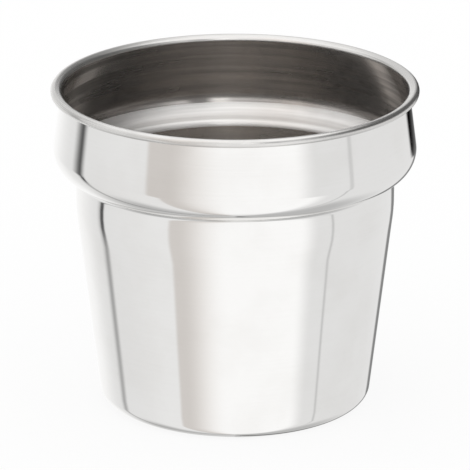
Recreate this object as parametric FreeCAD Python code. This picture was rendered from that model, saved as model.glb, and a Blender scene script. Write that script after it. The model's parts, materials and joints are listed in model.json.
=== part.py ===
import FreeCAD, Part
import math
import os

# Inset pot of a soup kettle: one drawn stainless steel sheet that hangs by its shoulder in a round opening.
# Millimetres, +Z up, origin at the middle of the base's underside.
# The section is a row of bends joined by straight runs, from the middle of the base to the free edge of
# the rolled rim. It is drawn in the XZ plane on the sheet's outer face, thickened inwards and turned about Z.

# Driving dimensions
SHEET = 0.8  # thickness of the steel
HEIGHT = 210.0  # underside of the base to the top of the rim
RIM_DIAMETER = 236.0  # outside of the rolled rim
ROLL_DIAMETER = 5.2  # outside of the roll itself
ROLL_TURN = 300.0  # degrees that the edge is rolled through
LIP_WIDTH = 1.8  # straight part of the lip, between its bend out of the collar and the roll
LIP_SLOPE = 20.0  # degrees that the lip rises outwards
COLLAR_DIAMETER = 233.2  # outside, at its widest, low on the collar
NECK_DIAMETER = 205.2  # outside of the straight neck below the shoulder
NECK_FOOT_HEIGHT = 130.0  # where the neck and the tapered wall would meet without their blend
NECK_BLEND_RADIUS = 60.0  # easy bend between neck and tapered wall
SHOULDER_HEIGHT = 153.4  # lowest level of the shoulder's round
SHOULDER_RADIUS = 15.7  # round between shoulder and collar, outside
CREASE_RADIUS = 4.0  # hollow bend between neck and shoulder, outside
BASE_DIAMETER = 174.2  # where the tapered wall would meet the base without its rounded corner
CORNER_RADIUS = 9.0  # round between base and wall, outside

STEEL_DENSITY = 7.93e-6  # kilograms per cubic millimetre

UPRIGHT = 90.0  # degrees
SHORTEST_RUN = 1e-4  # bends closer together than this run straight into each other


def section_point(radius, height):
    """Return the point of the section at a radius from the axis and a height above the base."""
    return FreeCAD.Vector(radius, 0, height)


class Bend:
    """A bend of the sheet: an arc of the outer face between two angles, in degrees about its centre."""

    def __init__(self, centre, radius, start, end):
        self.centre = centre
        self.radius = radius
        self.start = start
        self.end = end

    def at(self, degrees, depth):
        """Return the point of the bend at an angle, on the face that lies a depth inside the outer face."""
        # A bend that runs anticlockwise has its centre inside the pot, so its inner face is the smaller one.
        inwards = -depth if self.end > self.start else depth
        angle = math.radians(degrees)
        reach = self.radius + inwards
        return self.centre + section_point(reach * math.cos(angle), reach * math.sin(angle))

    def edge(self, depth):
        """Return the arc on the face that lies a depth inside the outer face."""
        middle = (self.start + self.end) / 2
        return Part.Arc(self.at(self.start, depth), self.at(middle, depth), self.at(self.end, depth)).toShape()


def base_corner(taper):
    """Return the bend between the base and the wall, which leans out by the taper."""
    tangent = CORNER_RADIUS * math.tan(math.radians((UPRIGHT - taper) / 2))
    centre = section_point(BASE_DIAMETER / 2 - tangent, CORNER_RADIUS)
    return Bend(centre, CORNER_RADIUS, -UPRIGHT, -taper)


def neck_blend(taper):
    """Return the easy bend that brings the tapered wall upright at the neck."""
    tangent = NECK_BLEND_RADIUS * math.tan(math.radians(taper / 2))
    centre = section_point(NECK_DIAMETER / 2 - NECK_BLEND_RADIUS, NECK_FOOT_HEIGHT + tangent)
    return Bend(centre, NECK_BLEND_RADIUS, -taper, 0)


def crease_and_shoulder(flare):
    """Return the hollow bend at the top of the neck and the shoulder's round, which run into each other."""
    shoulder = section_point(COLLAR_DIAMETER / 2 - SHOULDER_RADIUS, SHOULDER_HEIGHT + SHOULDER_RADIUS)
    crease_r = NECK_DIAMETER / 2 + CREASE_RADIUS
    between = SHOULDER_RADIUS + CREASE_RADIUS
    drop = math.sqrt(between**2 - (crease_r - shoulder.x) ** 2)
    crease = section_point(crease_r, shoulder.z - drop)
    meeting = math.degrees(math.atan2(drop, shoulder.x - crease_r))
    return (
        Bend(crease, CREASE_RADIUS, 2 * UPRIGHT, meeting),
        Bend(shoulder, SHOULDER_RADIUS, meeting - 2 * UPRIGHT, flare),
    )


def roll_centre():
    """Return the centre of the rolled edge."""
    return section_point((RIM_DIAMETER - ROLL_DIAMETER) / 2, HEIGHT - ROLL_DIAMETER / 2)


def lip_centre():
    """Return the centre of the bend that turns the collar out into the lip."""
    slope = math.radians(LIP_SLOPE)
    return roll_centre() - section_point(LIP_WIDTH * math.cos(slope), LIP_WIDTH * math.sin(slope))


def rim_bends(flare):
    """Return the bend into the lip, on a collar that leans in by the flare, and the rolled edge."""
    radius = ROLL_DIAMETER / 2 - SHEET
    start = 2 * UPRIGHT + flare
    lip = UPRIGHT + LIP_SLOPE
    return Bend(lip_centre(), radius, start, lip), Bend(roll_centre(), radius, lip, start - ROLL_TURN)


def collar_flare():
    """Return the lean of the collar's wall in degrees, as the line that touches the shoulder and the lip."""
    shoulder = section_point(COLLAR_DIAMETER / 2 - SHOULDER_RADIUS, SHOULDER_HEIGHT + SHOULDER_RADIUS)
    between = lip_centre() - shoulder
    reach = SHOULDER_RADIUS + ROLL_DIAMETER / 2 - SHEET
    return math.degrees(math.atan2(between.z, between.x) - math.acos(reach / between.Length))


def sheet_face(bends, depth):
    """Return the edges of one face of the sheet, from the axis to the free edge of the rim."""
    edges = []
    last = section_point(0, depth)
    for bend in bends:
        start = bend.at(bend.start, depth)
        if last.distanceToPoint(start) > SHORTEST_RUN:
            edges.append(Part.LineSegment(last, start).toShape())
        edges.append(bend.edge(depth))
        last = bend.at(bend.end, depth)
    return edges


def turned_sheet(bends):
    """Return the solid that the sheet's section sweeps round the axis."""
    roll = bends[-1]
    free_edge = Part.LineSegment(roll.at(roll.end, 0), roll.at(roll.end, SHEET)).toShape()
    axis_edge = Part.LineSegment(section_point(0, 0), section_point(0, SHEET)).toShape()
    edges = sheet_face(bends, 0) + [free_edge] + sheet_face(bends, SHEET) + [axis_edge]
    section = Part.Face(Part.Wire(Part.__sortEdges__(edges)))
    return section.revolve(section_point(0, 0), FreeCAD.Vector(0, 0, 1), 360)


def inset_pot():
    """Return the pot as one solid."""
    lean = NECK_DIAMETER / 2 - BASE_DIAMETER / 2
    taper = math.degrees(math.atan2(lean, NECK_FOOT_HEIGHT))
    flare = collar_flare()
    crease, shoulder = crease_and_shoulder(flare)
    blend = neck_blend(taper)
    bends = [base_corner(taper), blend, crease, shoulder, *rim_bends(flare)]
    print(f"taper {taper:.2f} degrees, flare {flare:.2f} degrees")
    print(f"neck is straight from {blend.centre.z:.2f} to {crease.centre.z:.2f} mm")
    return turned_sheet(bends)


os.makedirs("parts", exist_ok=True)
pot = inset_pot()
print(f"valid {pot.isValid()}, solids {len(pot.Solids)}, mass {pot.Volume * STEEL_DENSITY:.3f} kg")
pot.exportStep("parts/inset_pot.step")
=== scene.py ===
"""Looks of a soup kettle's inset pot: mirror polished outside, brushed inside, in a white studio.

Metres, +Z up, with the origin at the middle of the base's underside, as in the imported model.
"""

import json
import logging
import math
from dataclasses import dataclass, replace
from enum import Enum, IntEnum
from typing import Any, Callable, Optional, Union

import bmesh
import bpy
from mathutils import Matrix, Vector

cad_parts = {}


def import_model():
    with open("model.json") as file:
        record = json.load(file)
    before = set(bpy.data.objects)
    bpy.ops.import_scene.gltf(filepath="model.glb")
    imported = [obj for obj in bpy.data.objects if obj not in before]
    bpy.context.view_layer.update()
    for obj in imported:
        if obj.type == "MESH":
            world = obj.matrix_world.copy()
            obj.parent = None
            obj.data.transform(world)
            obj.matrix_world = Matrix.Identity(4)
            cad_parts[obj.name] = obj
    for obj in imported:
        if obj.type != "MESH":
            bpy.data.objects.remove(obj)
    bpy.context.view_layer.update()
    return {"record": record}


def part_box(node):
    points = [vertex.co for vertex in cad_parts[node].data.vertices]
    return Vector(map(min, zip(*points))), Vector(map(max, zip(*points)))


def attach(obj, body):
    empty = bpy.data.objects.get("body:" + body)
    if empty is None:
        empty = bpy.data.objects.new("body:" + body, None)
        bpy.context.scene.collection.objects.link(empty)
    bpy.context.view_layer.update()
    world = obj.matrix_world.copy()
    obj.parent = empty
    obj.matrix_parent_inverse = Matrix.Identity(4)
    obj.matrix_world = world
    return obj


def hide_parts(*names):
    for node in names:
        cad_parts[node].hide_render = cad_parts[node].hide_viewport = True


LOG = logging.getLogger("inset_pot")

POT_NODE = "inset_pot"
POT_BODY = "root"
IMAGE_SIDE = 470  # pixels of the square picture
MILLIMETRE = 0.001
DEGREES = 180.0 / math.pi  # in one radian

Number = Union[int, float, "Signal"]
Colour = tuple[float, float, float]


class Signal:
    """A number that varies over a surface or a sky: a shader socket that works in Python expressions."""

    def __init__(self, bench: "NodeBench", socket: bpy.types.NodeSocket) -> None:
        """Wrap a socket of a node on the bench."""
        self.bench = bench
        self.socket = socket

    def _math(self, operation: str, first: Number, second: Number) -> "Signal":
        """Return the result of a Math node on two numbers."""
        return self.bench.signal("ShaderNodeMath", {"operation": operation}, {0: first, 1: second})

    def __add__(self, other: Number) -> "Signal":
        """Return self plus other."""
        return self._math("ADD", self, other)

    def __radd__(self, other: Number) -> "Signal":
        """Return other plus self."""
        return self._math("ADD", other, self)

    def __sub__(self, other: Number) -> "Signal":
        """Return self minus other."""
        return self._math("SUBTRACT", self, other)

    def __rsub__(self, other: Number) -> "Signal":
        """Return other minus self."""
        return self._math("SUBTRACT", other, self)

    def __mul__(self, other: Number) -> "Signal":
        """Return self times other."""
        return self._math("MULTIPLY", self, other)

    def __rmul__(self, other: Number) -> "Signal":
        """Return other times self."""
        return self._math("MULTIPLY", other, self)

    def __pow__(self, other: Number) -> "Signal":
        """Return self to the power of other."""
        return self._math("POWER", self, other)


class NodeBench:
    """Adds nodes to one node tree, which it clears first."""

    # Places of the colour sockets of a Mix node
    MIX_LOW = 6
    MIX_HIGH = 7
    MIX_RESULT = 2

    def __init__(self, tree: bpy.types.NodeTree) -> None:
        """Take over a node tree."""
        self.tree = tree
        tree.nodes.clear()

    def node(
        self,
        kind: str,
        settings: Optional[dict[str, Any]] = None,
        sockets: Optional[dict[Union[str, int], Any]] = None,
    ) -> bpy.types.Node:
        """Add a node, with its settings first and its sockets after them.

        Args:
            kind: type name of the node.
            settings: properties of the node.
            sockets: values, or signals and sockets to link, by the input's name or place.

        Returns:
            The new node.
        """
        node = self.tree.nodes.new(kind)
        for name, value in (settings or {}).items():
            setattr(node, name, value)
        for key, value in (sockets or {}).items():
            if isinstance(value, Signal):
                self.tree.links.new(value.socket, node.inputs[key])
            elif isinstance(value, bpy.types.NodeSocket):
                self.tree.links.new(value, node.inputs[key])
            else:
                node.inputs[key].default_value = value
        return node

    def signal(
        self,
        kind: str,
        settings: Optional[dict[str, Any]] = None,
        sockets: Optional[dict[Union[str, int], Any]] = None,
        output: Union[str, int] = 0,
    ) -> Signal:
        """Add a node and return one of its outputs as a signal.

        Args:
            kind: type name of the node.
            settings: properties of the node.
            sockets: values or links of its inputs.
            output: name or place of the output.

        Returns:
            The output as a signal.
        """
        return Signal(self, self.node(kind, settings, sockets).outputs[output])

    def step(self, value: Number, start: float, end: float) -> Signal:
        """Return a smooth step of a signal, 0 at start and 1 at end.

        Args:
            value: the signal that is stepped.
            start: its value where the step leaves 0.
            end: its value where the step reaches 1.

        Returns:
            The step as a signal.
        """
        settings = {"interpolation_type": "SMOOTHSTEP"}
        sockets = {"Value": value, "From Min": start, "From Max": end}
        return self.signal("ShaderNodeMapRange", settings, sockets)

    def noise(self, place: bpy.types.NodeSocket, scale: float, detail: float) -> Signal:
        """Return noise at a place, about 0.5 on average.

        Args:
            place: vector that the noise reads.
            scale: cells of noise per metre of that vector.
            detail: octaves of finer noise.

        Returns:
            The noise as a signal.
        """
        return self.signal("ShaderNodeTexNoise", None, {"Vector": place, "Scale": scale, "Detail": detail})

    def colour(self, low: Colour, high: Colour, share: Number) -> bpy.types.NodeSocket:
        """Return the mix of two colours.

        Args:
            low: linear colour where the share is 0.
            high: linear colour where the share is 1.
            share: how much of high there is.

        Returns:
            The output socket of the mix.
        """
        sockets = {0: share, self.MIX_LOW: (*low, 1.0), self.MIX_HIGH: (*high, 1.0)}
        return self.node("ShaderNodeMix", {"data_type": "RGBA"}, sockets).outputs[self.MIX_RESULT]


class Finish(IntEnum):
    """Material slots of the pot's mesh."""

    POLISHED = 0
    RIM = 1
    SATIN = 2
    # Ledge, brightened with a painted highlight
    LEDGE_PAINTED_HIGHLIGHT = 3
    # Collar's inside, darkened with painted shade
    COLLAR = 4


@dataclass(frozen=True)
class TurnedPattern:
    """Lines that polishing leaves round a turned pot, in Object coordinates.

    Attributes:
        lines: lines per metre across the polishing direction.
        stretch: how much slower the lines change round the pot than across it.
        climb: share of the height that joins the radius, so that walls and flats both have lines.
        detail: octaves of finer lines.
    """

    lines: float = 900.0
    stretch: float = 0.012
    climb: float = 1.7
    detail: float = 3.0

    def at(self, bench: NodeBench, place: bpy.types.NodeSocket) -> Signal:
        """Return the lines at a place.

        Args:
            bench: the material's bench.
            place: the Object coordinates.

        Returns:
            Noise that changes slowly round the pot and fast across the lines.
        """
        parts = bench.node("ShaderNodeSeparateXYZ", None, {0: place})
        x, y, z = (Signal(bench, parts.outputs[axis]) for axis in ("X", "Y", "Z"))
        across = (x * x + y * y) ** 0.5 + z * self.climb
        sockets = {"X": x * self.stretch, "Y": y * self.stretch, "Z": across}
        turned = bench.node("ShaderNodeCombineXYZ", None, sockets).outputs[0]
        return bench.noise(turned, self.lines, self.detail)


@dataclass(frozen=True)
class SteelFinish:
    """Stainless steel: polishing lines round the pot, patches of haze and the waviness of drawn sheet.

    Attributes:
        name: name of the material.
        colour: linear reflectance of the clean steel.
        dull_colour: linear reflectance in lines and haze.
        line_dullness: share of the dull colour in the lines.
        haze_dullness: share of the dull colour in the haze.
        roughness: least roughness.
        line_roughness: roughness added by the lines.
        haze_roughness: roughness added by the haze.
        line_depth: height of the lines.
        wave_depth: height of the sheet's waves.
        spread: anisotropy, towards 1 for lines that spread light up and down only.
        pattern: the polishing lines.
        haze_scale: patches of haze per metre.
        wave_scale: waves of the sheet per metre.
    """

    name: str
    colour: Colour
    dull_colour: Colour
    line_dullness: float
    haze_dullness: float
    roughness: float
    line_roughness: float
    haze_roughness: float
    line_depth: float
    wave_depth: float
    spread: float
    pattern: TurnedPattern = TurnedPattern()
    haze_scale: float = 22.0
    wave_scale: float = 16.0

    # Values of the noise between which lines and haze come up, and octaves of finer haze and waves
    LINE_START = 0.34
    LINE_END = 0.66
    HAZE_START = 0.42
    HAZE_END = 0.72
    HAZE_DETAIL = 4.0
    WAVE_DETAIL = 1.0
    ALONG_THE_LINES = 0.25  # turn of the anisotropy, as a share of a full turn

    def material(self) -> bpy.types.Material:
        """Make the finish as a material.

        Returns:
            The new material.
        """
        material = bpy.data.materials.new(self.name)
        material.use_nodes = True
        bench = NodeBench(material.node_tree)
        place = bench.node("ShaderNodeTexCoord").outputs["Object"]
        lines = bench.step(self.pattern.at(bench, place), self.LINE_START, self.LINE_END)
        patches = bench.noise(place, self.haze_scale, self.HAZE_DETAIL)
        haze = bench.step(patches, self.HAZE_START, self.HAZE_END)
        waves = bench.noise(place, self.wave_scale, self.WAVE_DETAIL)
        relief = lines * self.line_depth + waves * self.wave_depth
        bump = bench.node("ShaderNodeBump", None, {"Strength": 1.0, "Distance": 1.0, "Height": relief})
        dull = self.line_dullness * lines + self.haze_dullness * haze
        shader = bench.node(
            "ShaderNodeBsdfPrincipled",
            None,
            {
                "Base Color": bench.colour(self.colour, self.dull_colour, dull),
                "Metallic": 1.0,
                "Roughness": self.roughness + self.line_roughness * lines + self.haze_roughness * haze,
                "Anisotropic": self.spread,
                "Anisotropic Rotation": self.ALONG_THE_LINES,
                "Normal": bump.outputs[0],
            },
        )
        bench.node("ShaderNodeOutputMaterial", None, {"Surface": shader.outputs[0]})
        return material


MIRROR_POLISH = SteelFinish(
    name="mirror_polished_steel",
    colour=(0.86, 0.855, 0.845),
    dull_colour=(0.81, 0.80, 0.785),
    line_dullness=0.15,
    haze_dullness=0.6,
    roughness=0.04,
    line_roughness=0.012,
    haze_roughness=0.03,
    line_depth=0.0,
    wave_depth=0.00012,
    spread=0.0,
)

RIM_POLISH = SteelFinish(
    name="rim_steel",
    colour=(0.74, 0.73, 0.715),
    dull_colour=(0.58, 0.57, 0.555),
    line_dullness=0.3,
    haze_dullness=0.5,
    roughness=0.24,
    line_roughness=0.05,
    haze_roughness=0.06,
    line_depth=0.000003,
    wave_depth=0.00005,
    spread=0.3,
    pattern=TurnedPattern(lines=1400.0),
)

SATIN_BRUSHING = SteelFinish(
    name="satin_brushed_steel",
    colour=(0.80, 0.77, 0.74),
    dull_colour=(0.44, 0.42, 0.40),
    line_dullness=0.65,
    haze_dullness=0.35,
    roughness=0.19,
    line_roughness=0.08,
    haze_roughness=0.04,
    line_depth=0.000003,
    wave_depth=0.00008,
    spread=0.85,
    pattern=TurnedPattern(lines=170.0, stretch=0.04, detail=2.0),
)

# Painted shade: a darker copy of the satin steel for the collar's inside, whose colour stands in for the
# shade inside the pot; its brush lines are the steel's real finish.
COLLAR_PAINTED_SHADE_STEEL = replace(
    SATIN_BRUSHING,
    name="collar_steel_painted_shade",
    colour=(0.64, 0.61, 0.585),
    dull_colour=(0.20, 0.19, 0.18),
)

# Painted highlight: a brighter copy of the inner steel for the ledge, whose colour stands in for the
# overhead light that the ledge reflects; its roughness and brush lines are the steel's finish.
LEDGE_PAINTED_HIGHLIGHT_STEEL = SteelFinish(
    name="ledge_steel_painted_highlight",
    colour=(0.93, 0.915, 0.90),
    dull_colour=(0.70, 0.685, 0.67),
    line_dullness=0.35,
    haze_dullness=0.35,
    roughness=0.40,
    line_roughness=0.05,
    haze_roughness=0.05,
    line_depth=0.000002,
    wave_depth=0.0001,
    spread=0.75,
    pattern=TurnedPattern(lines=260.0, stretch=0.04),
)

STEEL: dict[Finish, SteelFinish] = {
    Finish.POLISHED: MIRROR_POLISH,
    Finish.RIM: RIM_POLISH,
    Finish.SATIN: SATIN_BRUSHING,
    Finish.LEDGE_PAINTED_HIGHLIGHT: LEDGE_PAINTED_HIGHLIGHT_STEEL,
    Finish.COLLAR: COLLAR_PAINTED_SHADE_STEEL,
}


@dataclass(frozen=True)
class Bend:
    """A bend of the sheet, as an arc of its outer face in the section.

    Attributes:
        centre: centre of the arc, in the XZ plane.
        radius: radius of the outer face.
        start: angle where it starts, in radians, anticlockwise from straight out.
        end: angle where it ends.
    """

    centre: Vector
    radius: float
    start: float
    end: float

    def at(self, angle: float, depth: float) -> Vector:
        """Return a point of the bend.

        Args:
            angle: where on the arc.
            depth: how far inside the outer face. An anticlockwise bend has its centre inside the pot.

        Returns:
            The point in the XZ plane.
        """
        reach = self.radius - depth if self.end > self.start else self.radius + depth
        return self.centre + reach * Vector((math.cos(angle), 0.0, math.sin(angle)))


@dataclass(frozen=True)
class PotSection:
    """Sizes of the sheet's section, from the middle of the base to the free edge of the rolled rim.

    Attributes:
        height: top of the rim above the base.
        rim_radius: outside of the rim.
        neck_radius: outside of the straight neck.
        sheet: thickness of the steel.
        roll_diameter: outside of the rim's roll.
        roll_turn: angle that the edge is rolled through.
        lip_width: straight part of the lip, between its bend out of the collar and the roll.
        lip_slope: angle that the lip rises outwards.
        collar_radius: outside of the collar at its widest.
        neck_foot: height where neck and tapered wall would meet without their blend.
        neck_blend: radius of that blend.
        shoulder_height: lowest level of the shoulder's round.
        shoulder_radius: radius of that round.
        crease_radius: hollow bend between neck and shoulder.
        base_radius: where wall and base would meet without their corner.
        corner_radius: radius of that corner.
    """

    height: float
    rim_radius: float
    neck_radius: float
    sheet: float = 0.0008
    roll_diameter: float = 0.0052
    roll_turn: float = math.radians(300.0)
    lip_width: float = 0.0018
    lip_slope: float = math.radians(20.0)
    collar_radius: float = 0.1166
    neck_foot: float = 0.130
    neck_blend: float = 0.060
    shoulder_height: float = 0.1534
    shoulder_radius: float = 0.0157
    crease_radius: float = 0.004
    base_radius: float = 0.0871
    corner_radius: float = 0.009

    def base_corner(self, taper: float) -> Bend:
        """Work out the bend between the base and the wall.

        Args:
            taper: angle that the wall leans out by.

        Returns:
            The bend.
        """
        tangent = self.corner_radius * math.tan((math.pi / 2 - taper) / 2)
        centre = Vector((self.base_radius - tangent, 0.0, self.corner_radius))
        return Bend(centre, self.corner_radius, -math.pi / 2, -taper)

    def neck_bend(self, taper: float) -> Bend:
        """Work out the easy bend that brings the tapered wall upright at the neck.

        Args:
            taper: angle that the wall leans out by.

        Returns:
            The bend.
        """
        tangent = self.neck_blend * math.tan(taper / 2)
        centre = Vector((self.neck_radius - self.neck_blend, 0.0, self.neck_foot + tangent))
        return Bend(centre, self.neck_blend, -taper, 0.0)

    def roll_centre(self) -> Vector:
        """Return the centre of the rolled edge."""
        half = self.roll_diameter / 2
        return Vector((self.rim_radius - half, 0.0, self.height - half))

    def lip_centre(self) -> Vector:
        """Return the centre of the bend that turns the collar out into the lip."""
        outwards = Vector((math.cos(self.lip_slope), 0.0, math.sin(self.lip_slope)))
        return self.roll_centre() - self.lip_width * outwards

    def rim_bends(self, flare: float) -> tuple[Bend, Bend]:
        """Work out the bends of the rim.

        Args:
            flare: angle that the collar leans in by.

        Returns:
            The bend into the lip and the rolled edge.
        """
        radius = self.roll_diameter / 2 - self.sheet
        start = math.pi + flare
        lip = math.pi / 2 + self.lip_slope
        roll = Bend(self.roll_centre(), radius, lip, start - self.roll_turn)
        return Bend(self.lip_centre(), radius, start, lip), roll

    def shoulder_centre(self) -> Vector:
        """Return the centre of the shoulder's round."""
        radius = self.shoulder_radius
        return Vector((self.collar_radius - radius, 0.0, self.shoulder_height + radius))

    def flare(self) -> float:
        """Work out the lean of the collar, whose wall touches the shoulder's round and the lip's bend.

        Returns:
            The angle in radians.
        """
        between = self.lip_centre() - self.shoulder_centre()
        reach = self.shoulder_radius + self.roll_diameter / 2 - self.sheet
        return math.atan2(between.z, between.x) - math.acos(reach / between.length)

    def bends(self) -> list[Bend]:
        """Work out all bends of the section.

        Returns:
            The bends in order, from the base to the rim.
        """
        taper = math.atan2(self.neck_radius - self.base_radius, self.neck_foot)
        flare = self.flare()
        shoulder = self.shoulder_centre()
        crease_x = self.neck_radius + self.crease_radius
        drop = math.sqrt((self.shoulder_radius + self.crease_radius) ** 2 - (crease_x - shoulder.x) ** 2)
        crease = Vector((crease_x, 0.0, shoulder.z - drop))
        meeting = math.atan2(drop, shoulder.x - crease_x)
        return [
            self.base_corner(taper),
            self.neck_bend(taper),
            Bend(crease, self.crease_radius, math.pi, meeting),
            Bend(shoulder, self.shoulder_radius, meeting - math.pi, flare),
            *self.rim_bends(flare),
        ]


class SectionPen:
    """Draws a stroke of the section as a chain of edges, with the mesh's own operators."""

    RING_GAP = 0.006  # longest span of a straight run
    BEND_STEP = math.radians(7.0)  # largest turn between two rings
    SHORTEST_RUN = 1e-7  # bends closer together than this run straight into each other

    def __init__(self, mesh: bmesh.types.BMesh, start: Vector) -> None:
        """Put the pen down at a point."""
        self.mesh = mesh
        self.tip = mesh.verts.new(start)

    def run(self, end: Vector) -> None:
        """Draw a straight run in even steps, whose ends become rings.

        Args:
            end: where the run ends.
        """
        way = end - self.tip.co
        if way.length < self.SHORTEST_RUN:
            return
        steps = math.ceil(way.length / self.RING_GAP)
        for _ in range(steps):
            grown = bmesh.ops.extrude_vert_indiv(self.mesh, verts=[self.tip])
            self.tip = grown["verts"][0]
            bmesh.ops.translate(self.mesh, verts=[self.tip], vec=way / steps)

    def turn(self, bend: Bend, backwards: bool) -> None:
        """Draw a bend from where the pen is, which is one of the bend's ends.

        Args:
            bend: the bend.
            backwards: whether it is drawn from its end to its start.
        """
        sweep = bend.start - bend.end if backwards else bend.end - bend.start
        grown = bmesh.ops.spin(
            self.mesh,
            geom=[self.tip],
            cent=bend.centre,
            axis=(0.0, -1.0, 0.0),
            angle=sweep,
            steps=math.ceil(abs(sweep) / self.BEND_STEP),
        )
        self.tip = next(part for part in grown["geom_last"] if isinstance(part, bmesh.types.BMVert))


@dataclass
class InsetPot:
    """The pot: one drawn sheet with a polished outside, a brushed inside whose collar is darkened with
    painted shade, a ledge brightened with a painted highlight and a rolled rim.

    Attributes:
        section: sizes of the sheet's section.
        ledge_start: angle of the shoulder's round where the ledge, brightened with a painted highlight,
            begins.
        turn_steps: facets round the pot.
        sharp_angle: angle past which an edge shows as an edge.
        merge_gap: distance within which points of two strokes are one.
        shortest_edge: length below which an edge is dissolved.
    """

    section: PotSection
    ledge_start: float = math.radians(-24.0)
    turn_steps: int = 160
    sharp_angle: float = math.radians(40.0)
    merge_gap: float = 1e-6
    shortest_edge: float = 1e-7

    def draw_outside(self, mesh: bmesh.types.BMesh) -> None:
        """Draw the outer face, from the middle of the base into the roll and across the sheet's free edge.

        Args:
            mesh: the mesh that takes the stroke.
        """
        bends = self.section.bends()
        pen = SectionPen(mesh, Vector((0.0, 0.0, 0.0)))
        for bend in bends:
            pen.run(bend.at(bend.start, 0.0))
            pen.turn(bend, backwards=False)
        roll = bends[-1]
        pen.run(roll.at(roll.end, self.section.sheet))

    def draw_rim(self, mesh: bmesh.types.BMesh) -> None:
        """Draw the outside of the roll, from the free edge over the top, and the lip down to the mouth.

        Args:
            mesh: the mesh that takes the stroke.
        """
        *_, lip, roll = self.section.bends()
        pen = SectionPen(mesh, roll.at(roll.end, self.section.sheet))
        pen.turn(roll, backwards=True)
        pen.run(lip.at(lip.end, self.section.sheet))
        pen.turn(lip, backwards=True)

    def draw_collar_inside(self, mesh: bmesh.types.BMesh) -> None:
        """Draw the inner face of the collar, from the mouth down to the ledge.

        Args:
            mesh: the mesh that takes the stroke.
        """
        _, _, _, shoulder, lip, _ = self.section.bends()
        pen = SectionPen(mesh, lip.at(lip.start, self.section.sheet))
        pen.run(shoulder.at(shoulder.end, self.section.sheet))
        pen.turn(replace(shoulder, start=self.ledge_start), backwards=True)

    def draw_ledge(self, mesh: bmesh.types.BMesh) -> None:
        """Draw the ledge that the shoulder and the crease make inside.

        Args:
            mesh: the mesh that takes the stroke.
        """
        _, _, crease, shoulder, _, _ = self.section.bends()
        pen = SectionPen(mesh, shoulder.at(self.ledge_start, self.section.sheet))
        pen.turn(replace(shoulder, end=self.ledge_start), backwards=True)
        pen.turn(crease, backwards=True)

    def draw_well(self, mesh: bmesh.types.BMesh) -> None:
        """Draw the inner face below the ledge, down to the middle of the base.

        Args:
            mesh: the mesh that takes the stroke.
        """
        corner, blend, crease, _, _, _ = self.section.bends()
        sheet = self.section.sheet
        pen = SectionPen(mesh, crease.at(crease.start, sheet))
        for bend in (blend, corner):
            pen.run(bend.at(bend.end, sheet))
            pen.turn(bend, backwards=True)
        pen.run(Vector((0.0, 0.0, sheet)))

    def turned_stroke(self, draw: Callable[[bmesh.types.BMesh], None], finish: Finish) -> bpy.types.Mesh:
        """Turn one stroke of the section about the pot's axis.

        Args:
            draw: method that draws the stroke.
            finish: finish of its faces.

        Returns:
            The turned face as a mesh of its own.
        """
        mesh = bmesh.new()
        draw(mesh)
        bmesh.ops.spin(
            mesh,
            geom=[*mesh.verts, *mesh.edges],
            cent=(0.0, 0.0, 0.0),
            axis=(0.0, 0.0, 1.0),
            angle=2 * math.pi,
            steps=self.turn_steps,
            use_merge=True,
        )
        for face in mesh.faces:
            face.material_index = finish
            face.smooth = True
        data = bpy.data.meshes.new(finish.name.lower())
        mesh.to_mesh(data)
        mesh.free()
        return data

    def shell(self) -> bpy.types.Mesh:
        """Turn all strokes and join them into one closed shell.

        Returns:
            The shell as a mesh.
        """
        strokes = (
            (Finish.POLISHED, self.draw_outside),
            (Finish.RIM, self.draw_rim),
            # The collar's inside takes the steel darkened with painted shade.
            (Finish.COLLAR, self.draw_collar_inside),
            # The ledge takes the steel brightened with a painted highlight.
            (Finish.LEDGE_PAINTED_HIGHLIGHT, self.draw_ledge),
            (Finish.SATIN, self.draw_well),
        )
        mesh = bmesh.new()
        for finish, draw in strokes:
            turned = self.turned_stroke(draw, finish)
            mesh.from_mesh(turned)
            bpy.data.meshes.remove(turned)
        bmesh.ops.remove_doubles(mesh, verts=mesh.verts, dist=self.merge_gap)
        bmesh.ops.dissolve_degenerate(mesh, dist=self.shortest_edge, edges=mesh.edges)
        bmesh.ops.recalc_face_normals(mesh, faces=mesh.faces)
        for edge in mesh.edges:
            edge.smooth = edge.calc_face_angle(0.0) < self.sharp_angle
        data = bpy.data.meshes.new("inset_pot_shell")
        mesh.to_mesh(data)
        mesh.free()
        return data

    def place(self) -> bpy.types.Object:
        """Build the pot, dress it and put it in place of its node.

        Returns:
            The pot's object.
        """
        data = self.shell()
        for finish in Finish:
            data.materials.append(STEEL[finish].material())
        pot = bpy.data.objects.new("inset_pot_shell", data)
        bpy.context.scene.collection.objects.link(pot)
        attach(pot, POT_BODY)
        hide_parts(POT_NODE)
        LOG.info("%s: %d faces", pot.name, len(data.polygons))
        return pot


@dataclass(frozen=True)
class Edge:
    """An upright edge of a studio panel, by where the pot sees it.

    Attributes:
        azimuth: degrees from the camera's side, with the camera's right positive.
        blur: degrees over which the edge fades.
        lean: degrees that it lies further right below eye level.
    """

    azimuth: float
    blur: float
    lean: float = 0.0


@dataclass(frozen=True)
class Panel:
    """An upright panel of the studio, or a dark gap between two.

    Attributes:
        left: its edge on the left.
        right: its edge on the right.
        level: brightness at eye level.
        low_level: brightness below it, as the tapered wall sees it.
    """

    left: Edge
    right: Edge
    level: float
    low_level: float


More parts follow.
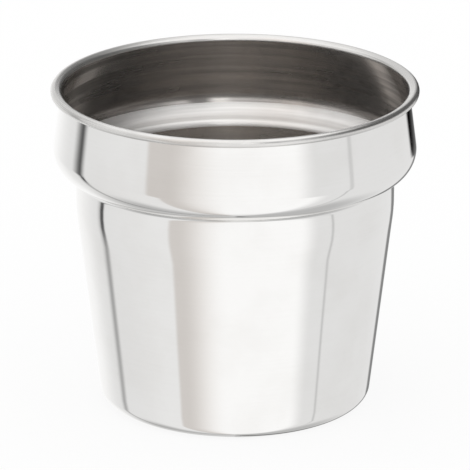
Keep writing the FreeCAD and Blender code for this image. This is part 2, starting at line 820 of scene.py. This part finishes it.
class StudioSide(Enum):
    """Panels round the pot, which its polished wall shows side by side."""

    LEFT_BACK = Panel(Edge(-200.0, 5.0), Edge(-142.0, 34.0, 7.0), 1.03, 1.03)
    LEFT_GAP = Panel(Edge(-119.0, 12.0, 5.0), Edge(-110.5, 7.0, -0.5), 0.10, 0.10)
    LEFT_SIDE = Panel(Edge(-90.0, 50.0, 6.0), Edge(-56.5, 4.0, 8.0), 0.90, 0.92)
    LEFT_SHADE = Panel(Edge(-56.5, 4.0, 8.0), Edge(-24.0, 38.0), 0.71, 0.72)
    FRONT = Panel(Edge(-24.0, 38.0), Edge(45.0, 16.0, 11.0), 1.11, 1.11)
    RIGHT_SEAM = Panel(Edge(76.0, 2.0, -2.0), Edge(79.0, 2.0, -3.0), 0.70, 0.62)
    RIGHT_GAP = Panel(Edge(147.0, 6.0, 9.0), Edge(171.0, 5.0), 0.0, 0.25)


class UpperSide(Enum):
    """What stands over those panels, which the rim and the inside show."""

    LEFT_BACK = Panel(Edge(-200.0, 5.0), Edge(-132.0, 20.0), 0.8, 0.8)
    LEFT = Panel(Edge(-112.0, 20.0), Edge(-24.0, 30.0), 0.95, 0.95)
    FRONT = Panel(Edge(-24.0, 30.0), Edge(50.0, 20.0), 1.0, 1.0)
    RIGHT = Panel(Edge(50.0, 20.0), Edge(92.0, 10.0), 0.7, 0.7)
    LEFT_STRIP = Panel(Edge(-42.0, 6.0), Edge(-34.0, 6.0), 1.2, 1.2)
    BRIGHT_STRIP = Panel(Edge(4.0, 4.0), Edge(15.0, 4.0), 1.7, 1.7)
    DARK_STRIP = Panel(Edge(17.0, 5.0), Edge(31.0, 6.0), 0.25, 0.25)


@dataclass(frozen=True)
class Studio:
    """White sweep, panels all round, a dark corner at the back right and a soft light above.

    Attributes:
        side_level: brightness of the plain panels at the sides.
        warmth: tint of the shaded panel on the left.
        eye_level: elevation in degrees above which panels show at their own level.
        low_level: elevation below which they show at their low level.
        slot: the black slot low in the gap on the left, which the neck shows.
        slot_foot: elevation where the slot begins to show.
        slot_full: elevation where it is full.
        upper_level: brightness of the plain room above the side panels.
        upper_start: elevation where that room begins to show.
        upper_end: elevation where it is full.
        top_level: brightness of the soft light above.
        top_start: elevation where the soft light begins to show.
        top_end: elevation where it is full.
        corner: the dark corner.
        corner_start: elevation where the corner begins to show.
        corner_end: elevation where it is full.
        corner_fade: elevation where it begins to fade into the light above.
        corner_top: elevation where it has gone.
        ground_start: elevation below which the ground under the pot darkens.
        ground_end: elevation where it is darkest.
        ground_near: reach of a direction towards the back where that ground begins to darken.
        ground_far: reach where it is darkest.
        ground_shade: share of the light that is lost there.
    """

    side_level: float = 0.86
    warmth: Colour = (1.0, 0.955, 0.92)
    eye_level: float = -14.0
    low_level: float = -17.5
    slot: Panel = Panel(Edge(-114.0, 2.5), Edge(-110.0, 2.5), 0.1, 0.1)
    slot_foot: float = -30.0
    slot_full: float = -19.0
    upper_level: float = 0.55
    upper_start: float = 8.0
    upper_end: float = 13.0
    top_level: float = 1.25
    top_start: float = 34.0
    top_end: float = 52.0
    corner: Panel = Panel(Edge(55.0, 80.0), Edge(168.0, 8.0), 0.12, 0.12)
    corner_start: float = -3.0
    corner_end: float = 4.0
    corner_fade: float = 40.0
    corner_top: float = 62.0
    ground_start: float = -35.0
    ground_end: float = -60.0
    ground_near: float = -0.30
    ground_far: float = 0.05
    ground_shade: float = 0.36

    def light(self) -> None:
        """Light the scene: white to the camera, even on the floor, and panelled in reflections."""
        world = bpy.data.worlds.new("studio")
        world.use_nodes = True
        bpy.context.scene.world = world
        bench = NodeBench(world.node_tree)
        direction = bench.node("ShaderNodeTexCoord").outputs["Generated"]
        parts = bench.node("ShaderNodeSeparateXYZ", None, {0: direction})
        x, y, z = (Signal(bench, parts.outputs[axis]) for axis in ("X", "Y", "Z"))
        azimuth = bench.signal("ShaderNodeMath", {"operation": "ARCTAN2"}, {0: x, 1: y * -1.0}) * DEGREES
        elevation = bench.signal("ShaderNodeMath", {"operation": "ARCSINE"}, {0: z}) * DEGREES
        low = bench.step(elevation, self.eye_level, self.low_level)
        path = bench.node("ShaderNodeLightPath")
        glossy = Signal(bench, path.outputs["Is Glossy Ray"])
        under = bench.step(elevation, self.ground_start, self.ground_end)
        under = under * bench.step(y, self.ground_near, self.ground_far)
        mirrored = self.reflected(bench, azimuth, elevation, low) * (1.0 - under * self.ground_shade)
        level = 1.0 + glossy * (mirrored - 1.0)
        warm = glossy * self.covered(bench, StudioSide.LEFT_SHADE.value, azimuth, low)
        colour = bench.colour((1.0, 1.0, 1.0), self.warmth, warm)
        background = bench.node("ShaderNodeBackground", None, {"Color": colour, "Strength": level})
        bench.node("ShaderNodeOutputWorld", None, {"Surface": background.outputs[0]})

    def reflected(self, bench: NodeBench, azimuth: Signal, elevation: Signal, low: Signal) -> Signal:
        """Return the brightness that reflections show.

        Args:
            bench: the world's bench.
            azimuth: degrees from the camera's side.
            elevation: degrees above the floor.
            low: 0 at eye level and above, 1 well below it.

        Returns:
            The brightness as a signal.
        """
        level: Number = self.side_level
        for side in StudioSide:
            level = self.behind(bench, level, side.value, azimuth, low)
        slot = self.covered(bench, self.slot, azimuth, low) * low
        slot = slot * bench.step(elevation, self.slot_foot, self.slot_full)
        level = level + slot * (self.slot.level - level)
        upper: Number = self.upper_level
        for side in UpperSide:
            upper = self.behind(bench, upper, side.value, azimuth, low)
        level = level + bench.step(elevation, self.upper_start, self.upper_end) * (upper - level)
        level = level + bench.step(elevation, self.top_start, self.top_end) * (self.top_level - level)
        dark = self.covered(bench, self.corner, azimuth, low)
        dark = dark * bench.step(elevation, self.corner_start, self.corner_end)
        dark = dark * bench.step(elevation, self.corner_top, self.corner_fade)
        return level + dark * (self.corner.level - level)

    def behind(self, bench: NodeBench, level: Number, panel: Panel, azimuth: Signal, low: Signal) -> Signal:
        """Return the brightness of a panel and, beside it, of what stands behind it."""
        shown = panel.level + low * (panel.low_level - panel.level)
        return level + self.covered(bench, panel, azimuth, low) * (shown - level)

    def covered(self, bench: NodeBench, panel: Panel, azimuth: Signal, low: Signal) -> Signal:
        """Return 1 where a panel stands and 0 beside it."""
        return self.past(bench, panel.left, azimuth, low) - self.past(bench, panel.right, azimuth, low)

    def past(self, bench: NodeBench, edge: Edge, azimuth: Signal, low: Signal) -> Signal:
        """Return 1 to the right of an edge and 0 to its left."""
        half = edge.blur / 2
        return bench.step(azimuth - low * edge.lean, edge.azimuth - half, edge.azimuth + half)


@dataclass(frozen=True)
class Floor:
    """White floor that keeps a trace of the pot's shadow.

    Attributes:
        half_side: half the floor's side.
        paint: reflectance of the floor.
        shadow: share of the floor's own shading that the camera sees.
    """

    half_side: float = 20.0
    paint: float = 0.99
    shadow: float = 0.16

    def material(self) -> bpy.types.Material:
        """Make the floor's material, which is mostly plain white to the camera.

        Returns:
            The new material.
        """
        material = bpy.data.materials.new("white_floor")
        material.use_nodes = True
        bench = NodeBench(material.node_tree)
        path = bench.node("ShaderNodeLightPath")
        seen = Signal(bench, path.outputs["Is Camera Ray"]) + Signal(bench, path.outputs["Is Glossy Ray"])
        seen = seen + Signal(bench, path.outputs["Is Transmission Ray"])
        tone = (self.paint, self.paint, self.paint, 1.0)
        paint = bench.node("ShaderNodeBsdfDiffuse", None, {"Color": tone})
        white = bench.node("ShaderNodeEmission", None, {"Color": (1.0, 1.0, 1.0, 1.0), "Strength": 1.0})
        sockets = {"Fac": seen * (1.0 - self.shadow), 1: paint.outputs[0], 2: white.outputs[0]}
        mixed = bench.node("ShaderNodeMixShader", None, sockets)
        bench.node("ShaderNodeOutputMaterial", None, {"Surface": mixed.outputs[0]})
        return material

    def lay(self) -> None:
        """Lay the floor under the pot, whose polished wall shows the studio's panels in its place."""
        mesh = bmesh.new()
        bmesh.ops.create_grid(mesh, x_segments=1, y_segments=1, size=self.half_side)
        data = bpy.data.meshes.new("floor")
        mesh.to_mesh(data)
        mesh.free()
        data.materials.append(self.material())
        floor = bpy.data.objects.new("floor", data)
        bpy.context.scene.collection.objects.link(floor)
        floor.visible_glossy = False


@dataclass(frozen=True)
class StudioCamera:
    """The camera of the picture.

    Attributes:
        back: distance from the pot's axis, towards -Y.
        height: height above the floor.
        pitch: downward tilt in radians.
        focal_pixels: focal length in pixels of the picture.
        sensor: width of the sensor in millimetres.
        sight: distance past which nothing is drawn.
    """

    back: float = 2.7496
    height: float = 1.0534
    pitch: float = 0.3310
    focal_pixels: float = 4496.5
    sensor: float = 36.0
    sight: float = 100.0

    def aim(self) -> None:
        """Make the camera and use it for the scene."""
        data = bpy.data.cameras.new("camera")
        data.sensor_width = self.sensor
        data.lens = self.focal_pixels * self.sensor / IMAGE_SIDE
        data.clip_end = self.sight
        camera = bpy.data.objects.new("camera", data)
        camera.location = (0.0, -self.back, self.height)
        camera.rotation_euler = (math.pi / 2 - self.pitch, 0.0, 0.0)
        bpy.context.scene.collection.objects.link(camera)
        bpy.context.scene.camera = camera


def pot_section(record: dict[str, Any]) -> PotSection:
    """Return the section's sizes, with the main ones read from the frame.

    Args:
        record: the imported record.

    Returns:
        The section of the pot.
    """
    low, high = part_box(POT_NODE)
    neck = next(mount for mount in record["mounts"] if mount["name"] == "neck")
    rim_radius = max(high.x - low.x, high.y - low.y) / 2
    return PotSection(high.z, rim_radius, neck["dims"]["r_mm"] * MILLIMETRE)


def main() -> None:
    """Build the pot and its studio round the frame."""
    logging.basicConfig(level=logging.INFO)
    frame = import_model()
    bpy.context.scene.view_settings.view_transform = "Standard"
    StudioCamera().aim()
    InsetPot(pot_section(frame["record"])).place()
    Floor().lay()
    Studio().light()


if __name__ == "__main__":
    main()
